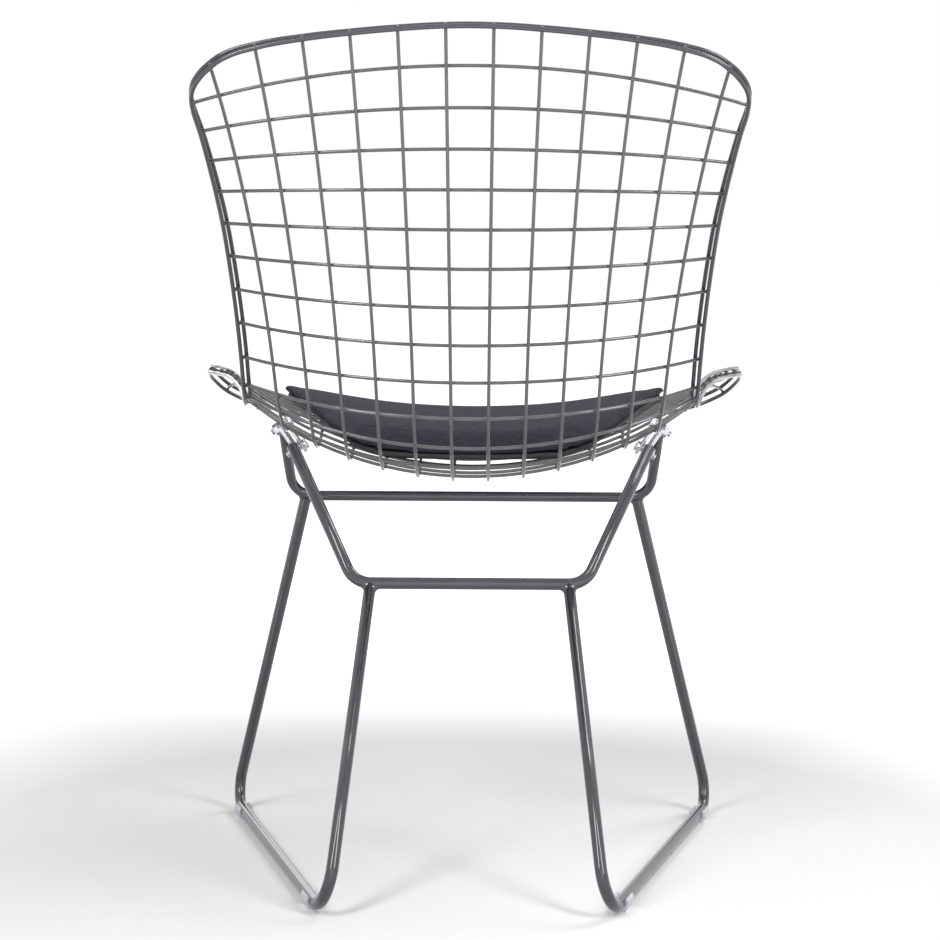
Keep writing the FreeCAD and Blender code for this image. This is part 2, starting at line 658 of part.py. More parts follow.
def make_cross_frame(name, prefix, target, trimmed):
    """U of bent rod: half its crossbar, one bend and one arm are piped and mirrored."""
    bar = Vector(0.0, size(prefix + "_bar_setback"), bar_height(prefix))
    rise = math.hypot(target.y - bar.y, target.z - bar.z)
    spare = size("plate_in") / 2.0 if trimmed else 0.0
    run = target.x - size(prefix + "_bar_half")
    angle = math.degrees(math.atan2(rise, run))
    stretch = 1.0 + spare / math.hypot(rise, run)
    place(prefix + "_arm_angle", angle)
    place(prefix + "_arm_rise", rise * stretch)
    body = doc.addObject("PartDesign::Body", name + "_body")
    path = plane_sketch(body, "XY_Plane", name + "_path")
    half = size(prefix + "_bar_half")
    bend = size(prefix + "_bar_bend")
    turn = math.radians(angle)
    reach = bend * math.tan(turn / 2.0)
    lean = Vector(math.cos(turn), math.sin(turn), 0.0)
    corner = Vector(half, 0.0, 0.0)
    line_end = Vector(half - reach, 0.0, 0.0)
    arc_middle = Vector(half - reach, bend, 0.0)
    arc_middle += Vector(math.sin(turn / 2.0), -math.cos(turn / 2.0), 0.0) * bend
    arc_end = corner + lean * reach
    arm_top = corner + lean * (rise * stretch / math.sin(turn))
    path.addGeometry(Part.LineSegment(Vector(0, 0, 0), line_end), False)
    path.addGeometry(Part.Arc(line_end, arc_middle, arc_end), False)
    path.addGeometry(Part.LineSegment(arc_end, arm_top), False)
    path.addConstraint(Sketcher.Constraint("Coincident", 0, 1, -1, 1))
    path.addConstraint(Sketcher.Constraint("Horizontal", 0))
    path.addConstraint(Sketcher.Constraint("Tangent", 0, 2, 1, 1))
    path.addConstraint(Sketcher.Constraint("Tangent", 1, 2, 2, 1))
    rules = (
        ("bend", Sketcher.Constraint("Radius", 1, bend), "sizes.%s_bar_bend" % prefix),
        ("rise", Sketcher.Constraint("DistanceY", -1, 1, 2, 2, arm_top.y), "places.%s_arm_rise" % prefix),
        ("lean", Sketcher.Constraint("Angle", 2, turn), "places.%s_arm_angle * 1 deg" % prefix),
        ("straight_half", Sketcher.Constraint("DistanceX", 0, 1, 0, 2, line_end.x),
         "sizes.%s_bar_half - sizes.%s_bar_bend * tan(places.%s_arm_angle / 2 * 1 deg)" % ((prefix,) * 3)),
    )
    for label, rule, expression in rules:
        index = path.addConstraint(rule)
        path.renameConstraint(index, label)
        path.setExpression("Constraints." + label, expression)
    section = plane_sketch(body, "YZ_Plane", name + "_section")
    sketch_circle(section, "rod", "sizes.%s_rod_d" % prefix)
    pipe = body.newObject("PartDesign::AdditivePipe", name + "_pipe")
    pipe.Profile = section
    pipe.Spine = (path, ["Edge1", "Edge2", "Edge3"])
    doc.recompute()
    mirrored = body.newObject("PartDesign::Mirrored", name + "_mirror")
    mirrored.Originals = [pipe]
    mirrored.MirrorPlane = (role_plane(body, "YZ_Plane"), [""])
    body.Tip = mirrored
    tilt = math.degrees(math.atan2(target.z - bar.z, target.y - bar.y))
    body.Placement = Placement(bar, Rotation(Vector(1, 0, 0), tilt))
    doc.recompute()
    if not trimmed:
        return node(body, name)
    return node(trim_to_plates(body, name), name)


def trim_to_plates(base, name):
    """Cuts the two arm ends flat to the undersides of the clamp plates."""
    for side, hand in (("left", 1.0), ("right", -1.0)):
        block = doc.addObject("Part::Box", "%s_trim_%s" % (name, side))
        block.setExpression("Length", "4 * sizes.plate_in")
        block.setExpression("Width", "4 * sizes.plate_in")
        block.setExpression("Height", "2 * sizes.plate_in")
        centre = -2.0 * size("plate_in")
        corner = Placement(Vector(centre, centre, LOWER_BOTTOM - size("rod_seat_gap")), Rotation())
        block.Placement = clamp_frame(hand).multiply(corner)
        cut = doc.addObject("Part::Cut", "%s_cut_%s" % (name, side))
        cut.Base = base
        cut.Tool = block
        doc.recompute()
        base = cut
    return base


def bent_rod_path(corners, radii):
    """Straight runs joined by tangent arcs."""
    edges = []
    start = corners[0]
    for before, here, after, radius in zip(corners, corners[1:], corners[2:], radii):
        a = (before - here).normalize()
        b = (after - here).normalize()
        half = a.getAngle(b) / 2.0
        reach = radius / math.tan(half)
        bisector = (a + b).normalize()
        middle = here + bisector * (radius / math.sin(half) - radius)
        edges.append(Part.LineSegment(start, here + a * reach).toShape())
        edges.append(Part.Arc(here + a * reach, middle, here + b * reach).toShape())
        start = here + b * reach
    edges.append(Part.LineSegment(start, corners[-1]).toShape())
    return Part.Wire(edges)


RUNNER_HEIGHT = size("glide_wall") + size("glide_fit") + size("leg_rod_d") / 2.0


def side_rod_corners(hand):
    return [
        Vector(hand * size("rear_leg_top_half"), size("rear_bar_setback"), bar_height("rear")),
        Vector(hand * size("rear_foot_half"), size("rear_foot_setback"), RUNNER_HEIGHT),
        Vector(hand * size("front_foot_half"), -size("front_foot_reach"), RUNNER_HEIGHT),
        Vector(hand * size("front_leg_top_half"), size("front_bar_setback"), bar_height("front")),
    ]


def make_side_rods():
    """Rear leg, floor runner and front leg of each side, bent from one rod."""
    gap = size("rod_seat_gap")
    for side, hand in (("left", 1.0), ("right", -1.0)):
        corners = side_rod_corners(hand)
        path = bent_rod_path(corners, [size("rear_foot_bend"), size("front_foot_bend")])
        start = corners[0]
        circle = Part.Circle(start, corners[1] - start, size("leg_rod_d") / 2.0)
        tube = path.makePipeShell([Part.Wire(circle.toShape())], True, False)
        for prefix, bar in (("rear", corners[0]), ("front", corners[3])):
            reach = 2.0 * size(prefix + "_bar_half")
            radius = size(prefix + "_rod_d") / 2.0 + gap
            saddle = Part.makeCylinder(radius, reach, Vector(-reach / 2.0, bar.y, bar.z), Vector(1, 0, 0))
            tube = tube.cut(saddle)
        rod = doc.addObject("Part::Feature", "side_rod_" + side)
        rod.Shape = max(tube.Solids, key=lambda solid: solid.Volume)
        node(rod, "side_rod_" + side)


def make_glides():
    """Clear clips that snap on the runners from below."""
    outer = size("leg_rod_d") / 2.0 + size("glide_fit") + size("glide_wall")
    inner = size("leg_rod_d") / 2.0 + size("glide_fit")
    for side, hand in (("left", 1.0), ("right", -1.0)):
        corners = side_rod_corners(hand)
        run = (corners[2] - corners[1]).normalize()
        ends = (
            ("rear", corners[1] + run * size("rear_glide_from_foot")),
            ("front", corners[2] - run * size("front_glide_from_foot")),
        )
        for end, centre in ends:
            name = "glide_%s_%s" % (end, side)
            body = doc.addObject("PartDesign::Body", name + "_body")
            sketch = plane_sketch(body, "XZ_Plane", name + "_section")
            half_gap = math.radians((360.0 - size("glide_wrap")) / 2.0)
            first = math.pi / 2.0 + half_gap
            last = first + math.radians(size("glide_wrap"))
            wide = Part.ArcOfCircle(Part.Circle(Vector(0, 0, 0), Vector(0, 0, 1), outer), first, last)
            narrow = Part.ArcOfCircle(Part.Circle(Vector(0, 0, 0), Vector(0, 0, 1), inner), first, last)
            sketch.addGeometry(wide, False)
            sketch.addGeometry(narrow, False)
            for lip in (first, last):
                heading = Vector(math.cos(lip), math.sin(lip), 0.0)
                sketch.addGeometry(Part.LineSegment(heading * inner, heading * outer), False)
            joins = (("Coincident", 0, 3, -1, 1), ("Coincident", 1, 3, -1, 1),
                     ("Coincident", 2, 1, 1, 1), ("Coincident", 2, 2, 0, 1),
                     ("Coincident", 3, 1, 1, 2), ("Coincident", 3, 2, 0, 2))
            for rule in joins:
                sketch.addConstraint(Sketcher.Constraint(*rule))
            bound = (
                ("inner_r", Sketcher.Constraint("Radius", 1, inner), "sizes.leg_rod_d / 2 + sizes.glide_fit"),
                ("outer_r", Sketcher.Constraint("Radius", 0, outer),
                 "sizes.leg_rod_d / 2 + sizes.glide_fit + sizes.glide_wall"),
                ("first_lip", Sketcher.Constraint("Angle", 2, first), "(270 - sizes.glide_wrap / 2) * 1 deg"),
                ("last_lip", Sketcher.Constraint("Angle", 3, last), "(270 + sizes.glide_wrap / 2) * 1 deg"),
            )
            for label, rule, expression in bound:
                index = sketch.addConstraint(rule)
                sketch.renameConstraint(index, label)
                sketch.setExpression("Constraints." + label, expression)
            clip = body.newObject("PartDesign::Pad", name + "_clip")
            clip.Profile = sketch
            clip.Midplane = True
            clip.setExpression("Length", "sizes.glide_length")
            foot_sketch = plane_sketch(body, "XY_Plane", name + "_foot")
            half = "sizes.glide_length / 2"
            sketch_rectangle(foot_sketch, "sizes.leg_rod_d / 2", "sizes.leg_rod_d / 2", half, half)
            foot_sketch.AttachmentOffset = Placement(Vector(0, 0, -outer), Rotation())
            foot = body.newObject("PartDesign::Pad", name + "_sole")
            foot.Profile = foot_sketch
            foot.setExpression("Length", "sizes.glide_sole")
            body.Tip = foot
            yaw = math.degrees(math.atan2(-run.x, run.y)) + 180.0
            body.Placement = Placement(centre, Rotation(Vector(0, 0, 1), yaw))
            doc.recompute()
            node(body, name)


# Seat pad: a moulded base board under an upholstered cushion. The stiff board bridges the
# dish of the net and bears on the cross wires along its two sides.

PAD_BASE_LIFT = WIRE_LIFT + WIRE_CORNER_R + size("pad_clear")


def net_height(x, y):
    """Height of the net's middle surface over a point of the plan."""
    u = x / size("pitch_front")
    v = size("back_run") + BEND_RUN + max(-y, 0.0)
    for attempt in range(30):
        here = net(u, v)
        if abs(here.x - x) < 1e-4 and abs(here.y - y) < 1e-4:
            break
        step = 0.5
        across = (net(u + 0.01, v).x - here.x) / 0.01
        down = (net(u, v + step).y - here.y) / step
        u += (x - here.x) / across
        v += (y - here.y) / down
    return net(u, v).z


# Shares of the pad's depth at which it has a section, close together in its rounded corners
PAD_CORNER = size("pad_corner_run") / (size("pad_rear") + size("pad_front"))
PAD_SHARES = [PAD_CORNER * step for step in (0.0, 0.1, 0.4, 1.0)] + [0.5]
PAD_SHARES += [1.0 - PAD_CORNER * step for step in (1.0, 0.4, 0.1, 0.0)]
PAD_CHORDS = 12
EDGE_CHORDS = 3


def quarter_round(share):
    """Height of a quarter circle over its run: 0 at the edge, 1 from the run's end on."""
    return math.sqrt(max(0.0, 1.0 - (1.0 - min(share, 1.0)) ** 2))


def pad_half_width(share):
    """Half width of the pad at a share of its depth, rear to front, with rounded corners."""
    straight = size("pad_rear_half") + (size("pad_front_half") - size("pad_rear_half")) * share
    corner = quarter_round(min(share, 1.0 - share) / PAD_CORNER)
    return straight - size("pad_corner_r") * (1.0 - corner)


def pad_section(share, inset, low, high_side, high_middle):
    """Closed section across the pad: two shallow arcs and two rounded edges, each in short chords."""
    run = size("pad_rear") + size("pad_front") - 2.0 * inset
    y = size("pad_rear") - inset - run * share
    half = pad_half_width(share) - inset
    lift = size("pad_lift") * (1.0 - share) + size("pad_front_lift") * share
    side = net_height(half, y) + PAD_BASE_LIFT / math.cos(math.radians(size("side_slope")))
    middle = net_height(0.0, y) + PAD_BASE_LIFT + lift
    bottom = [Vector(-half, y, side + low), Vector(0, y, middle + low), Vector(half, y, side + low)]
    top = [Vector(hand * half, y, side + high_side) for hand in (1.0, -1.0)]
    top.insert(1, Vector(0, y, middle + high_middle))
    bulge = Vector((high_side - low) * size("edge_bulge"), 0.0, 0.0)
    right = [bottom[2], (bottom[2] + top[0]) * 0.5 + bulge, top[0]]
    left = [top[2], (top[2] + bottom[0]) * 0.5 - bulge, bottom[0]]
    ring = []
    for arc, chords in ((bottom, PAD_CHORDS), (right, EDGE_CHORDS), (top, PAD_CHORDS), (left, EDGE_CHORDS)):
        ring += Part.Arc(*arc).toShape().discretize(Number=chords + 1)[:-1]
    return Part.makePolygon(ring + ring[:1])


def loft_sections(name, sections):
    form = doc.addObject("Part::Feature", name)
    form.Shape = Part.makeLoft(sections, True, True)
    return node(form, name)


def make_seat_pad():
    board_t = size("board_t")
    board = [pad_section(share, size("board_inset"), 0.0, board_t, board_t) for share in PAD_SHARES]
    loft_sections("seat_pad_board", board)
    base = board_t + size("cushion_gap")
    cushion = []
    for share in PAD_SHARES:
        full = quarter_round(min(share, 1.0 - share) / PAD_CORNER)
        thin = size("cushion_lip")
        side = base + thin + (size("cushion_edge") - thin) * full
        middle = base + thin + (size("cushion_crown") - thin) * full
        cushion.append(pad_section(share, 0.0, base, side, middle))
    loft_sections("seat_pad_cushion", cushion)


make_long_wires()
make_wing_wires()
make_cross_wires()
make_borders()
make_clamp_plates()
make_bolts_and_nuts()
make_cross_frame(
    "rear_cross_frame", "rear",
    arm_end(1.0, -size("arm_in"), REAR_ARM_BACK, LOWER_BOTTOM + size("lower_plate_t")), False,
)
make_cross_frame(
    "front_cross_frame", "front",
    arm_end(1.0, -size("front_arm_in"), -size("front_arm_ahead"), LOWER_BOTTOM), True,
)
make_side_rods()
make_glides()
make_seat_pad()
doc.recompute()

for item in doc.Objects:
    if "Invalid" in item.State or "Error" in item.State:
        raise RuntimeError("%s did not build: %s" % (item.Label, item.State))
for item in NODES:
    if item.Shape.isNull() or not item.Shape.isValid():
        raise RuntimeError("%s has no valid shape" % item.Label)

os.makedirs("parts", exist_ok=True)
for item in NODES:
    item.Shape.exportStep("parts/%s.step" % item.Label)
print("wrote %d sub-parts" % len(NODES))
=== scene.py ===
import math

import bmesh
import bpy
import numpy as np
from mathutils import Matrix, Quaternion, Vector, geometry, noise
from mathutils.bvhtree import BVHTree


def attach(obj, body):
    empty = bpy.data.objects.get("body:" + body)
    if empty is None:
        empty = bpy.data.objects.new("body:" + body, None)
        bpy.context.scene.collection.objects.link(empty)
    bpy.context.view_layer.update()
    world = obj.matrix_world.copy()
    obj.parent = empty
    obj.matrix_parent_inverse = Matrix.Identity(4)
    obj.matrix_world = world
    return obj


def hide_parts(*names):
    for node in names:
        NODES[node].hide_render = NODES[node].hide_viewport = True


bl_info = {
    "name": "Wire Mesh Chair",
    "version": (1, 0, 0),
    "blender": (4, 5, 0),
    "location": "View3D > Sidebar > Chair",
    "description": "Dresses the frame of a wire mesh chair: net, rods, clamps, glides and seat pad",
    "category": "Object",
}

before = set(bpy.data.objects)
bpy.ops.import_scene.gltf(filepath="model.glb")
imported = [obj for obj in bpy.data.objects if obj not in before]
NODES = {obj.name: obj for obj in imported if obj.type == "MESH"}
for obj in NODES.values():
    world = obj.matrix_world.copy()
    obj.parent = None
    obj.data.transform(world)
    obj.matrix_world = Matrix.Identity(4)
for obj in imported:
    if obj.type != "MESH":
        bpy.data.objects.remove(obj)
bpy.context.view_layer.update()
BODY = "root"

MM = 0.001
MERGE = 0.01 * MM
SMOOTH_ANGLE = math.radians(38.0)


def nodes_of(*prefixes):
    """Names of the sub-parts that start with one of the prefixes."""
    return sorted(name for name in NODES if name.startswith(prefixes))


NET_WIRES = nodes_of("long_wire", "cross_wire", "wing_wire")
BORDER_RODS = nodes_of("border_rod")
BASE_RODS = ("rear_cross_frame", "front_cross_frame", "side_rod_left", "side_rod_right")
CLAMP_PARTS = ("lower_clamp_plates", "upper_clamp_plates", "clamp_nuts")
GLIDES = nodes_of("glide")


class ChairWireSettings(bpy.types.PropertyGroup):
    """Net wires, border rods and the enamel that covers all the steel."""

    colour: bpy.props.FloatVectorProperty(
        name="Enamel colour", description="Gunmetal grey with a touch of violet",
        subtype="COLOR", size=3, min=0.0, max=1.0, default=(0.052, 0.049, 0.065),
    )
    # Painted highlight: the net's enamel is about twice as light as the base's, standing in for the
    # highlights its thin wires catch; its more neutral grey is its own colour.
    net_colour_and_highlight: bpy.props.FloatVectorProperty(
        name="Net colour and highlight", description="The net's enamel, a more neutral grey",
        subtype="COLOR", size=3, min=0.0, max=1.0, default=(0.105, 0.102, 0.112),
    )
    shade: bpy.props.FloatProperty(
        name="Shade", description="Brightness of the enamel's darker patches, as a share of its colour",
        default=0.82, min=0.0, max=1.0,
    )
    gloss: bpy.props.FloatProperty(
        name="Roughness", description="Roughness of the enamel", default=0.15, min=0.0, max=1.0,
    )
    sides: bpy.props.IntProperty(
        name="Roundness", description="Bevel resolution of the round wires", default=3, min=1, max=8,
    )
    steps: bpy.props.IntProperty(
        name="Steps", description="Steps of a wire from one crossing to the next", default=5, min=1, max=16,
    )
    nugget: bpy.props.FloatProperty(
        name="Weld size", description="Width of a spot weld, in wire widths", default=1.22, min=0.5, max=2.0,
    )
    fillet: bpy.props.FloatProperty(
        name="Fillet", description="Reach of the welded fillets of the base",
        subtype="DISTANCE", unit="LENGTH", default=5.0 * MM, min=1.0 * MM, max=12.0 * MM,
    )


class ChairPadSettings(bpy.types.PropertyGroup):
    """Upholstered seat pad."""

    colour: bpy.props.FloatVectorProperty(
        name="Cover colour", description="Charcoal cover", subtype="COLOR", size=3,
        min=0.0, max=1.0, default=(0.031, 0.029, 0.042),
    )
    grain: bpy.props.FloatProperty(
        name="Thread spacing", description="Distance between the threads of the cover",
        subtype="DISTANCE", unit="LENGTH", default=2.17 * MM, min=0.3 * MM, max=5.0 * MM,
    )
    voxel: bpy.props.FloatProperty(
        name="Cell size", description="Cell size of the pad before it is inflated",
        subtype="DISTANCE", unit="LENGTH", default=3.6 * MM, min=2.0 * MM, max=10.0 * MM,
    )
    pressure: bpy.props.FloatProperty(
        name="Pressure", description="Pressure of the foam on its cover", default=4.0, min=0.0, max=20.0,
    )
    swell: bpy.props.FloatProperty(
        name="Swell", description="Most that the cover may rise",
        subtype="DISTANCE", unit="LENGTH", default=3.5 * MM, min=0.0, max=20.0 * MM,
    )
    frames: bpy.props.IntProperty(
        name="Frames", description="Frames that the inflation runs for", default=20, min=1, max=60,
    )


class ChairStudioSettings(bpy.types.PropertyGroup):
    """Camera, floor and lamps."""

    camera_place: bpy.props.FloatVectorProperty(
        name="Camera", description="Place of the camera", subtype="XYZ", size=3,
        unit="LENGTH", default=(-0.0281, 2.5882, 0.6432),
    )
    camera_turn: bpy.props.FloatProperty(
        name="Turn", description="Turn of the camera from straight ahead, in degrees", default=0.656,
    )
    camera_tilt: bpy.props.FloatProperty(
        name="Tilt", description="Tilt of the camera below the horizon, in degrees", default=6.068,
    )
    camera_roll: bpy.props.FloatProperty(
        name="Roll", description="Roll of the camera, in degrees", default=0.256,
    )
    focal_pixels: bpy.props.FloatProperty(
        name="Focal length", description="Focal length in pixels of the 940 pixel frame", default=2727.0,
    )
    floor_colour: bpy.props.FloatVectorProperty(
        name="Floor", description="Colour of the floor", subtype="COLOR", size=3,
        min=0.0, max=1.0, default=(0.87, 0.87, 0.87),
    )
    floor_lift: bpy.props.FloatProperty(
        name="Floor lift", description="Plain white added to the floor near the chair", default=0.08,
        min=0.0, max=1.0,
    )
    ambient: bpy.props.FloatProperty(
        name="Ambient", description="Strength of the light from all round", default=0.20, min=0.0, max=2.0,
    )


# Reading the frame


def merged_copy(node):
    """The mesh of a sub-part with its loose triangles joined."""
    shape = bmesh.new()
    shape.from_mesh(NODES[node].data)
    bmesh.ops.remove_doubles(shape, verts=shape.verts, dist=MERGE)
    return shape


def islands(shape):
    """Vertex lists of the separate solids in a mesh."""
    seen = set()
    found = []
    for start in shape.verts:
        if start in seen:
            continue
        group = [start]
        seen.add(start)
        for corner in group:
            for edge in corner.link_edges:
                other = edge.other_vert(corner)
                if other not in seen:
                    seen.add(other)
                    group.append(other)
        found.append(group)
    return found


# A wire's edges are shorter than this within one ring of its section, and longer between rings.
RING_EDGE = 1.86 * MM


def wire_line(node):
    """Ordered points on a wire's middle line, its radius, and whether it is a closed loop."""
    shape = merged_copy(node)
    ring_of = {}
    rings = []
    for start in shape.verts:
        if start in ring_of:
            continue
        ring = [start]
        ring_of[start] = len(rings)
        for corner in ring:
            for edge in corner.link_edges:
                other = edge.other_vert(corner)
                if edge.calc_length() < RING_EDGE and other not in ring_of:
                    ring_of[other] = len(rings)
                    ring.append(other)
        rings.append(ring)
    centres = [sum((corner.co for corner in ring), Vector()) / len(ring) for ring in rings]
    sides = len(rings[0])
    reach = min((corner.co - centres[0]).length for corner in rings[0])
    beside = [set() for ring in rings]
    for edge in shape.edges:
        a, b = [ring_of[corner] for corner in edge.verts]
        if a != b:
            beside[a].add(b)
            beside[b].add(a)
    shape.free()
    ends = [k for k, others in enumerate(beside) if len(others) == 1]
    order = [ends[0] if ends else 0]
    while True:
        ahead = [k for k in sorted(beside[order[-1]]) if k not in order]
        if not ahead:
            break
        order.append(ahead[0])
    # The round wire has the area of the many-sided section.
    turn = 2.0 * math.pi / sides
    radius = reach * math.sqrt(sides * math.sin(turn) / (2.0 * math.pi))
    return [centres[k] for k in order], radius, not ends


# Making pieces


def linked(name, data):
    """A new object in the scene that holds the data."""
    holder = bpy.data.objects.new(name, data)
    bpy.context.scene.collection.objects.link(holder)
    return holder


def applied(holder):
    """The object's mesh with its modifiers applied, as a new mesh."""
    bpy.context.view_layer.update()
    evaluated = holder.evaluated_get(bpy.context.evaluated_depsgraph_get())
    return bpy.data.meshes.new_from_object(evaluated)


def add_piece(mesh, name, material, nodes=(), sharp=SMOOTH_ANGLE):
    """Puts a finished mesh into the scene as a piece of the chair."""
    mesh.name = name
    mesh.materials.clear()
    mesh.materials.append(material)
    mesh.shade_smooth()
    if sharp:
        mesh.set_sharp_from_angle(angle=sharp)
    piece = linked(name, mesh)
    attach(piece, BODY)
    if nodes:
        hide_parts(*nodes)
    return piece


def mesh_of(shape, name):
    """Turns a bmesh into a mesh and frees it."""
    mesh = bpy.data.meshes.new(name)
    shape.to_mesh(mesh)
    shape.free()
    return mesh


def eased_piece(node, name, material, flat, width, segments, corner):
    """Piece of a sub-part whose flat faces are made whole and whose edges are rounded."""
    shape = merged_copy(node)
    bmesh.ops.dissolve_limit(shape, angle_limit=flat, verts=shape.verts, edges=shape.edges)
    piece = add_piece(mesh_of(shape, node), name, material, [node])
    rounding = piece.modifiers.new("edges", "BEVEL")
    rounding.width = width
    rounding.segments = segments
    rounding.limit_method = "ANGLE"
    rounding.angle_limit = corner
    return piece


def swept(name, points, radius, closed, steps, sides):
    """Round rod along a smooth curve through points, and the points of its middle line."""
    curve = bpy.data.curves.new(name, "CURVE")
    curve.dimensions = "3D"
    curve.resolution_u = steps
    curve.use_fill_caps = True
    spline = curve.splines.new("BEZIER")
    spline.bezier_points.add(len(points) - 1)
    spline.use_cyclic_u = closed
    for knot, point in zip(spline.bezier_points, points):
        knot.co = point
    for knot in spline.bezier_points:
        knot.handle_left_type = "AUTO"
        knot.handle_right_type = "AUTO"
    holder = linked(name, curve)
    line = applied(holder)
    route = np.array([corner.co for corner in line.vertices])
    curve.bevel_depth = radius
    curve.bevel_resolution = sides
    mesh = applied(holder)
    bpy.data.objects.remove(holder)
    bpy.data.curves.remove(curve)
    bpy.data.meshes.remove(line)
    return mesh, route


TURN_STEPS = 24


def revolved(profile):
    """Solid turned round the Z axis from (radius, height) pairs."""
    shape = bmesh.new()
    corners = [shape.verts.new((radius, 0.0, height)) for radius, height in profile]
    edges = [shape.edges.new(pair) for pair in zip(corners, corners[1:])]
    bmesh.ops.spin(
        shape, geom=corners + edges, cent=(0, 0, 0), axis=(0, 0, 1),
        angle=2.0 * math.pi, steps=TURN_STEPS, use_merge=True,
    )
    bmesh.ops.remove_doubles(shape, verts=shape.verts, dist=MERGE)
    return shape


def axis_frame(centre, axis):
    """Placement with its Z along an axis."""
    turn = axis.to_track_quat("Z", "Y").to_matrix().to_4x4()
    return Matrix.Translation(centre) @ turn


def off_axis(point, foot, axis):
    """Distance of a point from the line through a foot point along an axis."""
    apart = point - foot
    return (apart - axis * apart.dot(axis)).length


# Materials


def new_material(name, colour, roughness, metallic=0.0):
    """A plain material with its node tree and its shader."""
    material = bpy.data.materials.new(name)
    material.use_nodes = True
    shader = material.node_tree.nodes["Principled BSDF"]
    shader.inputs["Base Color"].default_value = (*colour, 1.0)
    shader.inputs["Roughness"].default_value = roughness
    shader.inputs["Metallic"].default_value = metallic
    return material, material.node_tree, shader


def object_coordinates(tree, stretch=(1.0, 1.0, 1.0)):
    """The object's own coordinates, times a factor along each axis."""
    coordinates = tree.nodes.new("ShaderNodeTexCoord")
    mapping = tree.nodes.new("ShaderNodeMapping")
    mapping.inputs["Scale"].default_value = stretch
    tree.links.new(coordinates.outputs["Object"], mapping.inputs["Vector"])
    return mapping.outputs["Vector"]


def speckle(tree, vector, size, detail=2.0, rough=0.5):
    """Noise whose patches are about as wide as the given size."""
    texture = tree.nodes.new("ShaderNodeTexNoise")
    texture.inputs["Scale"].default_value = 1.0 / size
    texture.inputs["Detail"].default_value = detail
    texture.inputs["Roughness"].default_value = rough
    tree.links.new(vector, texture.inputs["Vector"])
    return texture.outputs["Fac"]


def ranged(tree, value, low, high, start=0.3, stop=0.7):
    """Carries a value from the span between start and stop to the one between low and high."""
    span = tree.nodes.new("ShaderNodeMapRange")
    span.inputs["From Min"].default_value = start
    span.inputs["From Max"].default_value = stop
    span.inputs["To Min"].default_value = low
    span.inputs["To Max"].default_value = high
    tree.links.new(value, span.inputs["Value"])
    return span.outputs["Result"]


def blended(tree, patches, first, second):
    """Colour that goes from the first to the second as a noise rises."""
    mix = tree.nodes.new("ShaderNodeMix")
    mix.data_type = "RGBA"
    mix.inputs["A"].default_value = (*first, 1.0)
    mix.inputs["B"].default_value = (*second, 1.0)
    tree.links.new(ranged(tree, patches, 0.0, 1.0), mix.inputs["Factor"])
    return mix.outputs["Result"]


def mottled(tree, shader, patches, first, second):
    """Gives a shader two colours that blend into each other with a noise."""
    tree.links.new(blended(tree, patches, first, second), shader.inputs["Base Color"])


def roughened(tree, shader, patches, low, high):
    """Gives a shader a roughness that goes from low to high as a noise rises."""
    tree.links.new(ranged(tree, patches, low, high), shader.inputs["Roughness"])


def bumped(tree, shader, height, depth, strength, under=None):
    """Raises bumps on a shader, on top of an earlier bump if one is given."""
    bump = tree.nodes.new("ShaderNodeBump")
    bump.inputs["Distance"].default_value = depth
    bump.inputs["Strength"].default_value = strength
    tree.links.new(height, bump.inputs["Height"])
    if under:
        tree.links.new(under, bump.inputs["Normal"])
    tree.links.new(bump.outputs["Normal"], shader.inputs["Normal"])
    return bump.outputs["Normal"]


def enamel(name, colour, settings):
    """Satin gunmetal enamel: faint patches of shade, a little orange peel and uneven gloss."""
    material, tree, shader = new_material(name, colour, settings.gloss)
    vector = object_coordinates(tree)
    patches = speckle(tree, vector, size=22.0 * MM, detail=3.0)
    mottled(tree, shader, patches, [channel * settings.shade for channel in colour], colour)
    smudges = speckle(tree, vector, size=9.0 * MM, detail=3.0)
    roughened(tree, shader, smudges, low=settings.gloss - 0.04, high=settings.gloss + 0.06)
    peel = speckle(tree, vector, size=2.6 * MM, detail=1.0)
    bumped(tree, shader, peel, depth=0.012 * MM, strength=0.4)
    shader.inputs["Coat Weight"].default_value = 0.35
    shader.inputs["Coat Roughness"].default_value = 0.05
    return material


def zinc():
    """Bright zinc plate, finely brushed, with dull and bluish patches."""
    material, tree, shader = new_material("zinc_plate", (0.72, 0.73, 0.76), 0.3, metallic=1.0)
    patches = speckle(tree, object_coordinates(tree), size=5.0 * MM, detail=4.0, rough=0.6)
    mottled(tree, shader, patches, (0.42, 0.43, 0.47), (0.64, 0.64, 0.67))
    roughened(tree, shader, patches, low=0.30, high=0.15)
    strokes = speckle(tree, object_coordinates(tree, (1.0, 9.0, 1.0)), size=2.4 * MM)
    bumped(tree, shader, strokes, depth=0.01 * MM, strength=0.3)
    return material


def clear_plastic():
    """Clear, slightly cloudy flexible plastic."""
    material, tree, shader = new_material("clear_plastic", (0.86, 0.85, 0.93), 0.22)
    shader.inputs["Transmission Weight"].default_value = 0.15
    shader.inputs["IOR"].default_value = 1.46
    vector = object_coordinates(tree)
    cloud = speckle(tree, vector, size=6.0 * MM, detail=3.0)
    mottled(tree, shader, cloud, (0.66, 0.65, 0.75), (0.80, 0.79, 0.88))
    roughened(tree, shader, cloud, low=0.16, high=0.32)
    bumped(tree, shader, speckle(tree, vector, size=4.0 * MM), depth=0.03 * MM, strength=0.3)
    return material


def board_black():
    """Moulded black board with a fine leathery texture."""
    material, tree, shader = new_material("board_black", (0.012, 0.012, 0.013), 0.62)
    grain = speckle(tree, object_coordinates(tree), size=1.3 * MM, detail=3.0, rough=0.6)
    mottled(tree, shader, grain, (0.008, 0.008, 0.009), (0.020, 0.020, 0.022))
    roughened(tree, shader, grain, low=0.72, high=0.55)
    bumped(tree, shader, grain, depth=0.12 * MM, strength=0.6)
    return material


# The wave texture's phase turns by this many radians in one unit of its coordinate.
WAVE_PHASE = 20.0
YARN_DARK = 0.62
YARN_LIGHT = 1.30


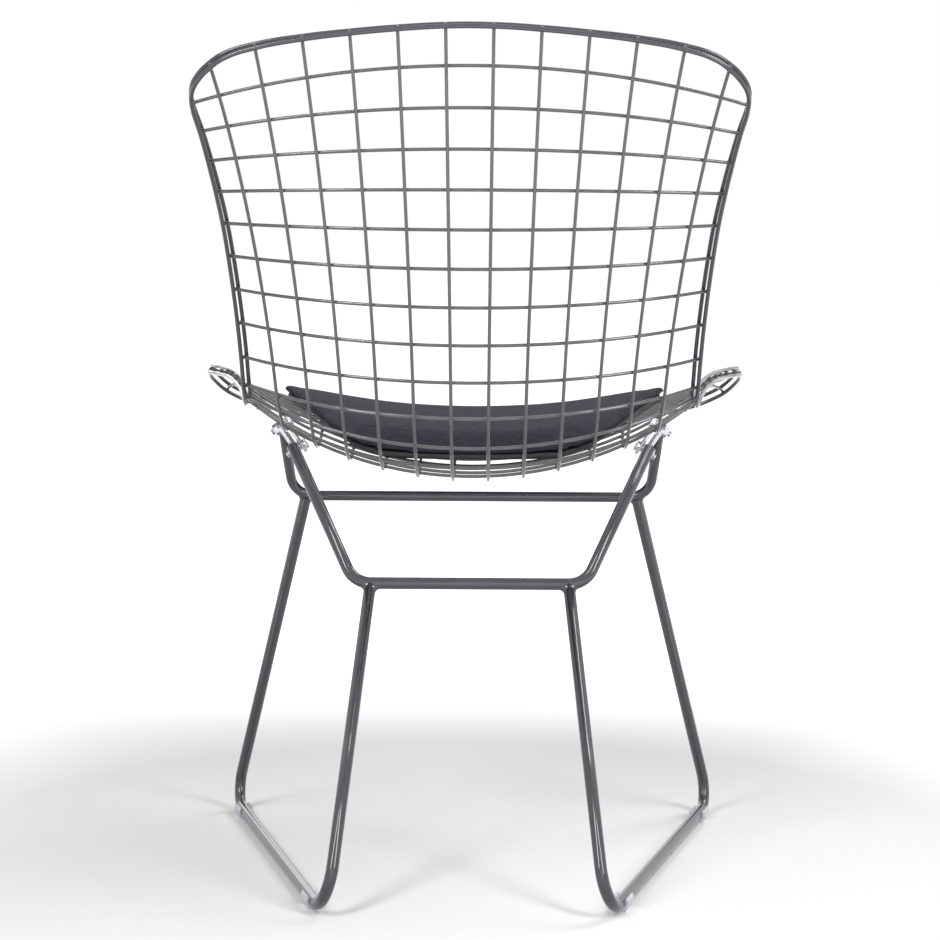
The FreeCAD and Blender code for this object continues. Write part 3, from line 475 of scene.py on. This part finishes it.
def crossed_threads(tree, vector, spacing):
    """Height of a plain weave: two sets of threads at right angles."""
    weave = tree.nodes.new("ShaderNodeMath")
    weave.operation = "MULTIPLY"
    for direction, socket in zip(("X", "Y"), weave.inputs):
        wave = tree.nodes.new("ShaderNodeTexWave")
        wave.bands_direction = direction
        wave.wave_profile = "SIN"
        wave.inputs["Scale"].default_value = 2.0 * math.pi / (WAVE_PHASE * spacing)
        wave.inputs["Distortion"].default_value = 0.6
        wave.inputs["Detail"].default_value = 1.0
        wave.inputs["Detail Scale"].default_value = 2.0
        tree.links.new(vector, wave.inputs["Vector"])
        tree.links.new(wave.outputs["Fac"], socket)
    return weave.outputs["Value"]


def cover_cloth(settings):
    """Charcoal cover: two crossed sets of threads, mottled yarn and a soft sheen."""
    material, tree, shader = new_material("charcoal_cover", settings.colour, 0.78)
    vector = object_coordinates(tree)
    slub = speckle(tree, object_coordinates(tree, (0.35, 1.0, 1.0)), size=2.4 * MM, detail=5.0, rough=0.7)
    wear = speckle(tree, vector, size=45.0 * MM, detail=3.0)
    dark = [channel * YARN_DARK for channel in settings.colour]
    light = [channel * YARN_LIGHT for channel in settings.colour]
    worn = tree.nodes.new("ShaderNodeMix")
    worn.data_type = "RGBA"
    worn.blend_type = "MULTIPLY"
    worn.inputs["Factor"].default_value = 1.0
    tree.links.new(blended(tree, slub, dark, light), worn.inputs["A"])
    tree.links.new(blended(tree, wear, (0.86, 0.86, 0.86), (1.0, 1.0, 1.0)), worn.inputs["B"])
    tree.links.new(worn.outputs["Result"], shader.inputs["Base Color"])
    roughened(tree, shader, slub, low=0.86, high=0.66)
    folds = bumped(tree, shader, wear, depth=0.8 * MM, strength=0.35)
    threads = crossed_threads(tree, vector, settings.grain)
    bumped(tree, shader, threads, depth=0.25 * MM, strength=0.8, under=folds)
    shader.inputs["Sheen Weight"].default_value = 0.04
    shader.inputs["Sheen Roughness"].default_value = 0.45
    shader.inputs["Sheen Tint"].default_value = (0.62, 0.60, 0.70, 1.0)
    shader.inputs["Specular IOR Level"].default_value = 0.08
    return material


# The net

# Middle line and radius of every wire and border rod that is drawn.
ROUTES = {}


def round_wires(nodes, material, steps, sides):
    """Draws wires as smooth round ones through the points of their middle lines."""
    for node in nodes:
        points, radius, closed = wire_line(node)
        mesh, route = swept(node + "_round", points, radius, closed, steps, sides)
        ROUTES[node] = (route, radius)
        add_piece(mesh, node + "_round", material, [node])


class CHAIR_OT_net_wires(bpy.types.Operator):
    """Draws every wire of the net as a smooth round wire through its crossings"""

    bl_idname = "chair.net_wires"
    bl_label = "Net wires"

    def execute(self, context):
        settings = context.scene.chair_wires
        # The net's enamel is lighter than the base's, which paints a highlight onto the thin wires.
        material = enamel("net_enamel_and_highlight", settings.net_colour_and_highlight, settings)
        round_wires(NET_WIRES, material, settings.steps, settings.sides)
        return {"FINISHED"}


class CHAIR_OT_border_rods(bpy.types.Operator):
    """Draws the two border rods as smooth closed hoops"""

    bl_idname = "chair.border_rods"
    bl_label = "Border rods"

    def execute(self, context):
        settings = context.scene.chair_wires
        material = enamel("border_enamel", settings.colour, settings)
        round_wires(BORDER_RODS, material, settings.steps, settings.sides + 1)
        return {"FINISHED"}


WELD_REACH = 5.0 * MM
NUGGET_AROUND = 8
NUGGET_RINGS = 5
NUGGET_FLAT = 0.62


def crossing(first, second):
    """The two nearest points of two wires, or None where they stay apart."""
    a, b = first[0], second[0]
    apart = ((a[:, None, :] - b[None, :, :]) ** 2).sum(-1)
    i, j = np.unravel_index(apart.argmin(), apart.shape)
    if apart[i, j] > WELD_REACH ** 2:
        return None
    i = min(max(i, 1), len(a) - 2)
    j = min(max(j, 1), len(b) - 2)
    found = geometry.intersect_line_line(
        Vector(a[i - 1]), Vector(a[i + 1]), Vector(b[j - 1]), Vector(b[j + 1]),
    )
    if found is None or (found[0] - found[1]).length > WELD_REACH:
        return None
    return found


class CHAIR_OT_spot_welds(bpy.types.Operator):
    """Adds the spot weld nugget between every two wires that cross"""

    bl_idname = "chair.spot_welds"
    bl_label = "Spot welds"

    def execute(self, context):
        settings = context.scene.chair_wires
        # The welds take the net's lighter enamel, so they carry the same painted highlight.
        material = enamel("weld_enamel_and_highlight", settings.net_colour_and_highlight, settings)
        across = nodes_of("cross_wire")
        along = nodes_of("long_wire", "wing_wire")
        pairs = [(a, b) for a in along for b in across]
        pairs += [(a, b) for a in BORDER_RODS for b in along + across]
        shape = bmesh.new()
        for a, b in pairs:
            found = crossing(ROUTES[a], ROUTES[b])
            if found is None:
                continue
            gap = found[1] - found[0]
            middle = (found[0] + found[1]) / 2.0
            wide = min(ROUTES[a][1], ROUTES[b][1]) * settings.nugget
            flat = Matrix.Diagonal((wide, wide, wide * NUGGET_FLAT, 1.0))
            bmesh.ops.create_uvsphere(
                shape, u_segments=NUGGET_AROUND, v_segments=NUGGET_RINGS, radius=1.0,
                matrix=axis_frame(middle, gap) @ flat,
            )
        add_piece(mesh_of(shape, "spot_welds"), "spot_welds", material, sharp=None)
        return {"FINISHED"}


# The base

BAR_RUN = 60.0 * MM
LEG_RUN = 120.0 * MM
LEG_RISE = 100.0 * MM
RUN_EDGES = 8
PARALLEL = 0.9995
ROD_REACH = 10.0 * MM


def straight_runs(node, shortest):
    """Middle lines of a bent rod's straight runs, as pairs of end points."""
    shape = merged_copy(node)
    bundles = []
    for edge in shape.edges:
        if edge.calc_length() <= shortest:
            continue
        low, high = sorted((corner.co.copy() for corner in edge.verts), key=lambda point: point.z + point.x)
        heading = (high - low).normalized()
        for bundle in bundles:
            if bundle[0][2].dot(heading) > PARALLEL:
                bundle.append((low, high, heading))
                break
        else:
            bundles.append([(low, high, heading)])
    shape.free()
    runs = []
    for bundle in bundles:
        if len(bundle) < RUN_EDGES:
            continue
        low = sum((line[0] for line in bundle), Vector()) / len(bundle)
        high = sum((line[1] for line in bundle), Vector()) / len(bundle)
        runs.append((low, high))
    return runs


def rod_radius(node, low, high):
    """Radius of a rod round the middle line of one of its straight runs."""
    shape = merged_copy(node)
    heading = (high - low).normalized()
    reaches = [off_axis(corner.co, low, heading) for corner in shape.verts]
    shape.free()
    near = sorted(reach for reach in reaches if reach < ROD_REACH)
    return near[len(near) // 2]


FILLET_SIDES = 32
FILLET_STEPS = 6
LIP_TILT = 0.35
WAVER = 0.18
WAVER_SIZE = 6.0 * MM
SUNK = 0.1 * MM


def saddle_fillet(shape, foot, heading, rod_r, surface, rise, reach):
    """Concave weld fillet from a rod's end to the surface that it is welded to."""
    across = heading.cross(Vector((1, 0, 0))).normalized()
    beside = heading.cross(across).normalized()
    sections = []
    for k in range(FILLET_SIDES):
        turn = 2.0 * math.pi * k / FILLET_SIDES
        out = across * math.cos(turn) + beside * math.sin(turn)
        start = foot + out * (rod_r - SUNK)
        corner, normal = surface.ray_cast(start, heading)[:2]
        if corner is None or (corner - start).dot(heading) > rise:
            corner, normal = surface.find_nearest(start + heading * rise)[:2]
        lip = out + heading * LIP_TILT
        lip = (lip - normal * lip.dot(normal)).normalized()
        wide = reach * (1.0 + WAVER * noise.noise(corner / WAVER_SIZE))
        on_bar, bar_normal = surface.find_nearest(corner + lip * wide)[:2]
        on_rod = start + heading * ((corner - start).dot(heading) - wide)
        sections.append((on_rod, corner, on_bar - bar_normal * SUNK))
    loops = []
    for step in range(FILLET_STEPS + 1):
        share = step / FILLET_STEPS
        ring = []
        for on_rod, corner, on_bar in sections:
            point = on_rod * (1 - share) ** 2 + corner * 2 * share * (1 - share) + on_bar * share ** 2
            ring.append(shape.verts.new(point))
        loops.append([shape.edges.new((ring[k - 1], ring[k])) for k in range(FILLET_SIDES)])
    for near, far in zip(loops, loops[1:]):
        bmesh.ops.bridge_loops(shape, edges=near + far)
    for loop in (loops[0], loops[-1]):
        bmesh.ops.edgeloop_fill(shape, edges=loop)


class CHAIR_OT_base_rods(bpy.types.Operator):
    """Paints the bent rods of the base and fillets the welds between them"""

    bl_idname = "chair.base_rods"
    bl_label = "Base rods"

    def execute(self, context):
        settings = context.scene.chair_wires
        material = enamel("base_enamel", settings.colour, settings)
        for node in BASE_RODS:
            add_piece(mesh_of(merged_copy(node), node), node + "_painted", material, [node])
        shape = bmesh.new()
        for prefix, outermost in (("rear", max), ("front", min)):
            frame_node = prefix + "_cross_frame"
            bars = straight_runs(frame_node, BAR_RUN)
            bar = max(bars, key=lambda run: abs((run[1] - run[0]).normalized().x))
            solid = merged_copy(frame_node)
            surface = BVHTree.FromBMesh(solid)
            solid.free()
            for node in nodes_of("side_rod"):
                runs = straight_runs(node, LEG_RUN)
                legs = [run for run in runs if abs(run[1].z - run[0].z) > LEG_RISE]
                leg = outermost(legs, key=lambda run: run[0].y + run[1].y)
                low, high = sorted(leg, key=lambda point: point.z)
                heading = (high - low).normalized()
                rod_r = rod_radius(node, low, high)
                rise = (bar[0].z - low.z) / heading.z
                saddle_fillet(shape, low, heading, rod_r, surface, rise, settings.fillet)
        bmesh.ops.recalc_face_normals(shape, faces=shape.faces)
        fillets = mesh_of(shape, "base_weld_fillets")
        add_piece(fillets, "base_weld_fillets", material, sharp=None)
        return {"FINISHED"}


# Clamps and glides


def flat_axis(shape, group):
    """Direction that the greatest flat area of a solid faces."""
    inside = set(group)
    areas = []
    for face in shape.faces:
        if face.verts[0] not in inside:
            continue
        for entry in areas:
            if entry[0].dot(face.normal) > 0.999:
                entry[1] += face.calc_area()
                break
        else:
            areas.append([face.normal.copy(), face.calc_area()])
    return max(areas, key=lambda entry: entry[1])[0]


HEAD_DEPTH = 4.0 * MM
HEAD_ROUNDING = 0.5 * MM
LOWER_PART = 0.6
LEAST_SHANK = 2.6 * MM
THREAD_PITCH = 1.0 * MM
THREAD_DEPTH = 0.45 * MM
THREAD_FROM = 0.55
THREAD_RUNOUT = 1.2 * MM
TIP_SHARE = 0.78


def bolt_profile(shank_r, length):
    """Half outline of a bolt's stem, with a ridge for every turn of its thread."""
    height = -length * THREAD_FROM
    profile = [(0.0, -HEAD_DEPTH * 0.5), (shank_r, -HEAD_DEPTH * 0.5), (shank_r, height)]
    while height > -length + THREAD_RUNOUT:
        profile.append((shank_r - THREAD_DEPTH, height - THREAD_PITCH / 2.0))
        profile.append((shank_r, height - THREAD_PITCH))
        height -= THREAD_PITCH
    return profile + [(shank_r * TIP_SHARE, -length), (0.0, -length)]


def make_bolts(material):
    """Hexagon bolts with a rounded head and a threaded end."""
    source = merged_copy("clamp_bolts")
    shape = bmesh.new()
    for group in islands(source):
        axis = flat_axis(source, group)
        heights = [corner.co.dot(axis) for corner in group]
        highest = max(heights)
        length = highest - min(heights)
        top = [corner.co for corner, height in zip(group, heights) if height > highest - MERGE]
        head_top = sum(top, Vector()) / len(top)
        head_r = max((point - head_top).length for point in top)
        limit = highest - length * LOWER_PART
        lower = [corner.co for corner, height in zip(group, heights) if height < limit]
        reaches = [off_axis(point, head_top, axis) for point in lower]
        shank_r = min(reach for reach in reaches if reach > LEAST_SHANK)
        place = axis_frame(head_top, axis)
        turned = Matrix.Rotation(math.pi / 6.0, 4, "Z")
        head = bmesh.ops.create_cone(
            shape, cap_ends=True, segments=6, radius1=head_r, radius2=head_r, depth=HEAD_DEPTH,
            matrix=place @ Matrix.Translation((0, 0, -HEAD_DEPTH / 2.0)) @ turned,
        )
        rim = {edge for corner in head["verts"] for edge in corner.link_edges}
        bmesh.ops.bevel(
            shape, geom=list(rim), offset=HEAD_ROUNDING, segments=2, profile=0.5,
            affect="EDGES", material=-1,
        )
        stem = revolved(bolt_profile(shank_r, length))
        stem.transform(place)
        bmesh.ops.recalc_face_normals(stem, faces=stem.faces)
        stem_mesh = mesh_of(stem, "stem")
        shape.from_mesh(stem_mesh)
        bpy.data.meshes.remove(stem_mesh)
    source.free()
    add_piece(mesh_of(shape, "clamp_bolts_zinc"), "clamp_bolts_zinc", material, ["clamp_bolts"])


class CHAIR_OT_clamps(bpy.types.Operator):
    """Clamp plates, bolts and nuts in bright zinc"""

    bl_idname = "chair.clamps"
    bl_label = "Clamps"

    def execute(self, context):
        material = zinc()
        for node in CLAMP_PARTS:
            eased_piece(
                node, node + "_zinc", material, flat=math.radians(2.0),
                width=0.45 * MM, segments=2, corner=math.radians(35.0),
            )
        make_bolts(material)
        return {"FINISHED"}


class CHAIR_OT_glides(bpy.types.Operator):
    """Clear clips under the runners"""

    bl_idname = "chair.glides"
    bl_label = "Glides"

    def execute(self, context):
        material = clear_plastic()
        for node in GLIDES:
            eased_piece(
                node, node + "_clear", material, flat=math.radians(1.0),
                width=0.6 * MM, segments=3, corner=math.radians(40.0),
            )
        return {"FINISHED"}


# The seat pad

BOARD_ANGLE = math.radians(60.0)
HELD_BELOW = -0.05
CLOTH_QUALITY = 4
EVENING = 0.5
EVENING_ROUNDS = 3


def places(mesh):
    """Places of a mesh's vertices, one row each."""
    return np.array([corner.co for corner in mesh.vertices])


def evened(source, cell):
    """The mesh rebuilt from small even cells, and smoothed a little."""
    holder = linked("pad_source", source)
    cells = holder.modifiers.new("cells", "REMESH")
    cells.mode = "VOXEL"
    cells.voxel_size = cell
    evening = holder.modifiers.new("evening", "SMOOTH")
    evening.factor = EVENING
    evening.iterations = EVENING_ROUNDS
    mesh = applied(holder)
    bpy.data.objects.remove(holder)
    return mesh


def inflated(mesh, settings):
    """Blows the cover up a little on its held underside, as foam fills it."""
    scene = bpy.context.scene
    holder = linked("pad_work", mesh)
    start = places(mesh)
    held = [corner.index for corner in mesh.vertices if corner.normal.z < HELD_BELOW]
    group = holder.vertex_groups.new(name="held")
    group.add(held, 1.0, "REPLACE")
    cloth = holder.modifiers.new("cover", "CLOTH")
    cloth.settings.use_pressure = True
    cloth.settings.uniform_pressure_force = settings.pressure
    cloth.settings.effector_weights.gravity = 0.0
    cloth.settings.vertex_group_mass = "held"
    cloth.settings.quality = CLOTH_QUALITY
    cloth.point_cache.frame_start = 1
    cloth.point_cache.frame_end = settings.frames
    for number in range(1, settings.frames + 1):
        scene.frame_set(number)
    blown = applied(holder)
    moved = places(blown) - start
    bpy.data.meshes.remove(blown)
    scene.frame_set(1)
    bpy.data.objects.remove(holder)
    reach = np.linalg.norm(moved, axis=1, keepdims=True)
    moved *= settings.swell * np.tanh(reach / settings.swell) / np.maximum(reach, 1e-9)
    mesh.vertices.foreach_set("co", (start + moved).astype(np.float32).ravel())
    mesh.update()
    return mesh


class CHAIR_OT_seat_pad(bpy.types.Operator):
    """Moulded board and the upholstered cushion on it"""

    bl_idname = "chair.seat_pad"
    bl_label = "Seat pad"

    def execute(self, context):
        settings = context.scene.chair_pad
        add_piece(
            mesh_of(merged_copy("seat_pad_board"), "board"), "seat_pad_board_moulded",
            board_black(), ["seat_pad_board"], sharp=BOARD_ANGLE,
        )
        mesh = evened(mesh_of(merged_copy("seat_pad_cushion"), "pad_source"), settings.voxel)
        mesh = inflated(mesh, settings)
        cushion = add_piece(
            mesh, "seat_pad_cushion_cover", cover_cloth(settings),
            ["seat_pad_cushion"], sharp=None,
        )
        finer = cushion.modifiers.new("finer", "SUBSURF")
        finer.levels = 1
        finer.render_levels = 1
        return {"FINISHED"}


# The studio

SEAT = (0.0, 0.0, 0.42)
FEET = (0.0, 0.2, 0.14)
CENTRE = (0.0, 0.0, 0.0)

# Name, place, target, width, height and power of each lamp.
LAMPS = (
    ("softbox_left", (1.08, 1.76, 1.98), FEET, 0.5, 1.7, 34.0),
    ("softbox_right", (-1.39, 1.69, 1.66), FEET, 0.5, 1.7, 34.0),
    ("camera_box", (-0.1, 3.1, 1.0), SEAT, 1.6, 1.2, 8.0),
    ("key", (-1.3, -0.9, 2.3), CENTRE, 1.0, 1.0, 20.0),
    ("far_fill", (0.9, -2.6, 1.2), SEAT, 1.2, 1.2, 6.0),
)
WHITE = (1.0, 1.0, 1.0, 1.0)
FLOOR_REACH = 14.0
FLOOR_CELLS = 8
FADE_START = 0.5
FADE_END = 1.25
FRAME_PIXELS = 940.0
SENSOR_WIDTH = 36.0
CLIP_END = 60.0


def aimed(holder, place, rotation):
    """Puts a lamp or the camera in its place, with its rotation."""
    holder.location = place
    holder.rotation_mode = "QUATERNION"
    holder.rotation_quaternion = rotation


def area_lamp(name, place, target, width, height, power):
    """White rectangular lamp that faces its target."""
    data = bpy.data.lights.new(name, "AREA")
    data.shape = "RECTANGLE"
    data.size = width
    data.size_y = height
    data.energy = power
    aimed(linked(name, data), place, (Vector(target) - Vector(place)).to_track_quat("-Z", "Y"))


def seen_directly(tree):
    """1 for camera, glossy and transmission rays, 0 for the rays that light the chair."""
    path = tree.nodes.new("ShaderNodeLightPath")
    total = path.outputs["Is Camera Ray"]
    for name in ("Is Glossy Ray", "Is Transmission Ray"):
        larger = tree.nodes.new("ShaderNodeMath")
        larger.operation = "MAXIMUM"
        tree.links.new(total, larger.inputs[0])
        tree.links.new(path.outputs[name], larger.inputs[1])
        total = larger.outputs["Value"]
    return total


def studio_world(settings):
    """White background that lights the chair less than it shows."""
    world = bpy.data.worlds.new("studio")
    bpy.context.scene.world = world
    world.use_nodes = True
    tree = world.node_tree
    background = tree.nodes["Background"]
    background.inputs["Color"].default_value = WHITE
    strength = ranged(tree, seen_directly(tree), settings.ambient, 1.0, start=0.0, stop=1.0)
    tree.links.new(strength, background.inputs["Strength"])


def studio_floor(settings):
    """Pale floor that melts into the white background away from the chair."""
    shape = bmesh.new()
    bmesh.ops.create_grid(shape, x_segments=FLOOR_CELLS, y_segments=FLOOR_CELLS, size=FLOOR_REACH)
    floor = linked("floor", mesh_of(shape, "floor"))
    material, tree, shader = new_material("floor_white", settings.floor_colour, 0.9)
    shader.inputs["Specular IOR Level"].default_value = 0.0
    distance = tree.nodes.new("ShaderNodeVectorMath")
    distance.operation = "LENGTH"
    tree.links.new(object_coordinates(tree), distance.inputs[0])
    fade = ranged(tree, distance.outputs["Value"], settings.floor_lift, 1.0, start=FADE_START, stop=FADE_END)
    share = tree.nodes.new("ShaderNodeMath")
    share.operation = "MULTIPLY"
    tree.links.new(fade, share.inputs[0])
    tree.links.new(seen_directly(tree), share.inputs[1])
    glow = tree.nodes.new("ShaderNodeEmission")
    glow.inputs["Color"].default_value = WHITE
    tree.links.new(share.outputs["Value"], glow.inputs["Strength"])
    both = tree.nodes.new("ShaderNodeAddShader")
    tree.links.new(shader.outputs["BSDF"], both.inputs[0])
    tree.links.new(glow.outputs["Emission"], both.inputs[1])
    tree.links.new(both.outputs["Shader"], tree.nodes["Material Output"].inputs["Surface"])
    floor.data.materials.append(material)


def studio_camera(settings):
    """Camera with the photograph's place, direction and focal length."""
    data = bpy.data.cameras.new("view")
    data.sensor_fit = "HORIZONTAL"
    data.sensor_width = SENSOR_WIDTH
    data.lens = settings.focal_pixels / FRAME_PIXELS * SENSOR_WIDTH
    data.clip_end = CLIP_END
    camera = linked("view", data)
    turn = math.radians(settings.camera_turn)
    tilt = math.radians(settings.camera_tilt)
    ahead = Vector((math.sin(turn) * math.cos(tilt), -math.cos(turn) * math.cos(tilt), -math.sin(tilt)))
    roll = Quaternion((0.0, 0.0, 1.0), math.radians(settings.camera_roll))
    aimed(camera, settings.camera_place, ahead.to_track_quat("-Z", "Y") @ roll)
    bpy.context.scene.camera = camera


class CHAIR_OT_studio(bpy.types.Operator):
    """Floor, lamps, background and camera"""

    bl_idname = "chair.studio"
    bl_label = "Studio"

    def execute(self, context):
        settings = context.scene.chair_studio
        context.scene.view_settings.view_transform = "Standard"
        studio_world(settings)
        studio_floor(settings)
        studio_camera(settings)
        for lamp in LAMPS:
            area_lamp(*lamp)
        return {"FINISHED"}


class CHAIR_PT_panel(bpy.types.Panel):
    """Lists the chair's pieces and their settings"""

    bl_label = "Wire mesh chair"
    bl_idname = "CHAIR_PT_panel"
    bl_space_type = "VIEW_3D"
    bl_region_type = "UI"
    bl_category = "Chair"

    def draw(self, context):
        scene = context.scene
        for settings in (scene.chair_wires, scene.chair_pad, scene.chair_studio):
            box = self.layout.box()
            for name in settings.__annotations__:
                box.prop(settings, name)
        for operator in OPERATORS:
            self.layout.operator(operator.bl_idname)


OPERATORS = (
    CHAIR_OT_net_wires,
    CHAIR_OT_border_rods,
    CHAIR_OT_spot_welds,
    CHAIR_OT_base_rods,
    CHAIR_OT_clamps,
    CHAIR_OT_glides,
    CHAIR_OT_seat_pad,
    CHAIR_OT_studio,
)
GROUPS = (
    (ChairWireSettings, "chair_wires"),
    (ChairPadSettings, "chair_pad"),
    (ChairStudioSettings, "chair_studio"),
)


def register():
    for group, name in GROUPS:
        bpy.utils.register_class(group)
        setattr(bpy.types.Scene, name, bpy.props.PointerProperty(type=group))
    for item in OPERATORS + (CHAIR_PT_panel,):
        bpy.utils.register_class(item)


def unregister():
    for item in reversed(OPERATORS + (CHAIR_PT_panel,)):
        bpy.utils.unregister_class(item)
    for group, name in reversed(GROUPS):
        delattr(bpy.types.Scene, name)
        bpy.utils.unregister_class(group)


def main():
    register()
    bpy.ops.chair.net_wires()
    bpy.ops.chair.border_rods()
    bpy.ops.chair.spot_welds()
    bpy.ops.chair.base_rods()
    bpy.ops.chair.clamps()
    bpy.ops.chair.glides()
    bpy.ops.chair.seat_pad()
    bpy.ops.chair.studio()


if __name__ == "__main__":
    main()
